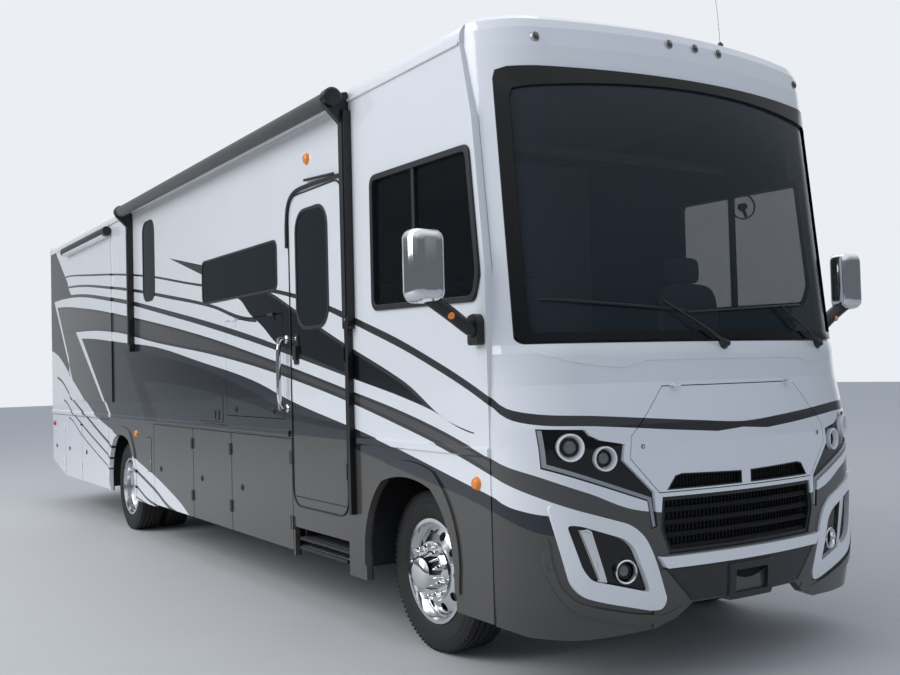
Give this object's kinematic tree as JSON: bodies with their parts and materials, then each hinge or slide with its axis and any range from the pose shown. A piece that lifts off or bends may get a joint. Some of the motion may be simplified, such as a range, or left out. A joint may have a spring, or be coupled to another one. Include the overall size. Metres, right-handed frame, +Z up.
{
  "type": "class A motorhome",
  "caption": "Bus-shaped motorhome with a tall windshield, side entry door, slide-out rooms, baggage doors and a roof awning",
  "frame": {"origin": "on the ground under the middle of the whole coach", "axes": "+Z up, +Y towards the tail, the nose and windshield towards -Y, the entry door on the -X side"},
  "size_m": [3.45, 11.24, 3.91],
  "materials": {
    "white_body": "gloss white gelcoat",
    "black_metal": "satin black chassis paint",
    "cast_iron": "bare casting",
    "glass": "dark tinted safety glass",
    "black_plastic": "moulded black plastic",
    "gloss_black": "gloss black panel",
    "rubber": "tyre rubber",
    "alloy": "polished aluminium",
    "chrome": "bright chrome",
    "grey_body": "dark grey metallic paint",
    "floor_ply": "sealed plywood deck",
    "seat": "grey leather",
    "awning_cloth": "charcoal awning fabric roll",
    "lamp_red": "red lamp lens"
  },
  "bodies": {
    "coach": {"awning_arms": "black_plastic", "awning_roll": "awning_cloth", "cab_seats": "seat", "chassis_frame": "black_metal", "dashboard": "black_plastic", "engine": "cast_iron", "entry_step": "black_metal", "floor": "floor_ply", "front_axle": "black_metal", "front_bumper": "grey_body", "front_cap": "white_body", "fuel_tank": "black_metal", "grab_rails": "chrome", "grille": "black_plastic", "headlamps": "gloss_black", "leaf_springs": "black_metal", "mirrors": "chrome", "nose_trim": "white_body", "rear_axle": "black_metal", "rear_cap": "white_body", "roof": "white_body", "roof_equipment": "white_body", "side_wall_left": "white_body", "side_wall_right": "white_body", "storage_bays": "black_metal", "tail_lamps": "lamp_red", "tow_hitch": "black_metal", "wheel_housings": "black_metal", "window_frames": "black_plastic", "window_glass": "glass", "windshield": "glass"},
    "steering_hub_right": {"steering_knuckle_right": "cast_iron"},
    "steering_hub_left": {"steering_knuckle_left": "cast_iron"},
    "front_wheel_right": {"front_wheel_right": "alloy", "front_tyre_right": "rubber"},
    "front_wheel_left": {"front_wheel_left": "alloy", "front_tyre_left": "rubber"},
    "rear_wheels_right": {"rear_wheels_right": "alloy", "rear_tyres_right": "rubber"},
    "rear_wheels_left": {"rear_wheels_left": "alloy", "rear_tyres_left": "rubber"},
    "steering_wheel": {"steering_wheel": "black_plastic"},
    "entry_door": {"entry_door": "white_body", "entry_door_glass": "glass"},
    "screen_door": {"screen_door": "white_body"},
    "hood": {"hood": "white_body"},
    "slide_out_right": {"slide_out_right": "white_body"},
    "slide_out_left": {"slide_out_left": "white_body", "slide_out_left_glass": "glass"},
    "bag_door_right_1": {"bag_door_right_1": "grey_body"},
    "bag_door_right_2": {"bag_door_right_2": "grey_body"},
    "bag_door_right_3": {"bag_door_right_3": "grey_body"},
    "bag_door_right_4": {"bag_door_right_4": "grey_body"},
    "bag_door_right_5": {"bag_door_right_5": "grey_body"},
    "bag_door_right_6": {"bag_door_right_6": "grey_body"},
    "bag_door_left_1": {"bag_door_left_1": "grey_body"},
    "bag_door_left_2": {"bag_door_left_2": "grey_body"},
    "bag_door_left_3": {"bag_door_left_3": "grey_body"},
    "bag_door_left_4": {"bag_door_left_4": "grey_body"}
  },
  "joints": [
    {"name": "steer_right", "type": "hinge", "parent": "coach", "child": "steering_hub_right", "pos_m": [-0.87, -4.23, 0.465], "axis": [0, 0, 1], "range_deg": [-35, 35]},
    {"name": "steer_left", "type": "hinge", "parent": "coach", "child": "steering_hub_left", "pos_m": [0.87, -4.23, 0.465], "axis": [0, 0, 1], "range_deg": [-35, 35]},
    {"name": "front_wheel_right_spin", "type": "hinge", "parent": "steering_hub_right", "child": "front_wheel_right", "pos_m": [-1.01, -4.23, 0.465], "axis": [1, 0, 0], "continuous": true},
    {"name": "rear_wheels_right_spin", "type": "hinge", "parent": "coach", "child": "rear_wheels_right", "pos_m": [-1.09, 1.917, 0.465], "axis": [1, 0, 0], "continuous": true},
    {"name": "front_wheel_left_spin", "type": "hinge", "parent": "steering_hub_left", "child": "front_wheel_left", "pos_m": [1.01, -4.23, 0.465], "axis": [1, 0, 0], "continuous": true},
    {"name": "rear_wheels_left_spin", "type": "hinge", "parent": "coach", "child": "rear_wheels_left", "pos_m": [1.09, 1.917, 0.465], "axis": [1, 0, 0], "continuous": true},
    {"name": "steering_wheel_turn", "type": "hinge", "parent": "coach", "child": "steering_wheel", "pos_m": [0.62, -5.19, 1.76], "axis": [0, 0.6018, 0.7986], "range_deg": [-560, 560]},
    {"name": "entry_door_swing", "type": "hinge", "parent": "coach", "child": "entry_door", "pos_m": [-1.3043, -3.495, 1.75], "axis": [0, 0, 1], "range_deg": [0, 95]},
    {"name": "screen_door_lift", "type": "hinge", "parent": "coach", "child": "screen_door", "pos_m": [-1.3043, -1.915, 2.07], "axis": [0, 1, 0], "range_deg": [0, 88]},
    {"name": "hood_lift", "type": "hinge", "parent": "coach", "child": "hood", "pos_m": [0, -5.541, 1.517], "axis": [-1, 0, 0], "range_deg": [0, 60]},
    {"name": "bag_door_right_1_swing", "type": "hinge", "parent": "coach", "child": "bag_door_right_1", "pos_m": [-1.3043, -2.604, 0.78], "axis": [0, 0, 1], "range_deg": [0, 90]},
    {"name": "bag_door_right_2_swing", "type": "hinge", "parent": "coach", "child": "bag_door_right_2", "pos_m": [-1.3043, -1.392, 0.78], "axis": [0, 0, 1], "range_deg": [0, 90]},
    {"name": "bag_door_right_3_swing", "type": "hinge", "parent": "coach", "child": "bag_door_right_3", "pos_m": [-1.3043, -0.437, 0.78], "axis": [0, 0, 1], "range_deg": [0, 90]},
    {"name": "bag_door_right_4_swing", "type": "hinge", "parent": "coach", "child": "bag_door_right_4", "pos_m": [-1.3043, 2.498, 0.78], "axis": [0, 0, 1], "range_deg": [0, 90]},
    {"name": "bag_door_right_5_swing", "type": "hinge", "parent": "coach", "child": "bag_door_right_5", "pos_m": [-1.3043, 3.772, 0.78], "axis": [0, 0, 1], "range_deg": [0, 90]},
    {"name": "bag_door_right_6_swing", "type": "hinge", "parent": "coach", "child": "bag_door_right_6", "pos_m": [-1.3043, 4.688, 0.78], "axis": [0, 0, 1], "range_deg": [0, 90]},
    {"name": "bag_door_left_1_swing", "type": "hinge", "parent": "coach", "child": "bag_door_left_1", "pos_m": [1.3043, -2.604, 0.78], "axis": [0, 0, -1], "range_deg": [0, 90]},
    {"name": "bag_door_left_2_swing", "type": "hinge", "parent": "coach", "child": "bag_door_left_2", "pos_m": [1.3043, -1.392, 0.78], "axis": [0, 0, -1], "range_deg": [0, 90]},
    {"name": "bag_door_left_3_swing", "type": "hinge", "parent": "coach", "child": "bag_door_left_3", "pos_m": [1.3043, -0.437, 0.78], "axis": [0, 0, -1], "range_deg": [0, 90]},
    {"name": "bag_door_left_4_swing", "type": "hinge", "parent": "coach", "child": "bag_door_left_4", "pos_m": [1.3043, 2.498, 0.78], "axis": [0, 0, -1], "range_deg": [0, 90]},
    {"name": "slide_out_right_travel", "type": "slide", "parent": "coach", "child": "slide_out_right", "axis": [-1, 0, 0], "range_m": [0, 0.6]},
    {"name": "slide_out_left_travel", "type": "slide", "parent": "coach", "child": "slide_out_left", "axis": [1, 0, 0], "range_m": [0, 0.88]}
  ],
  "couplings": [
    {"joint": "steer_left", "follows": "steer_right", "ratio": 1},
    {"joint": "steering_wheel_turn", "follows": "steer_right", "ratio": 16}
  ]
}
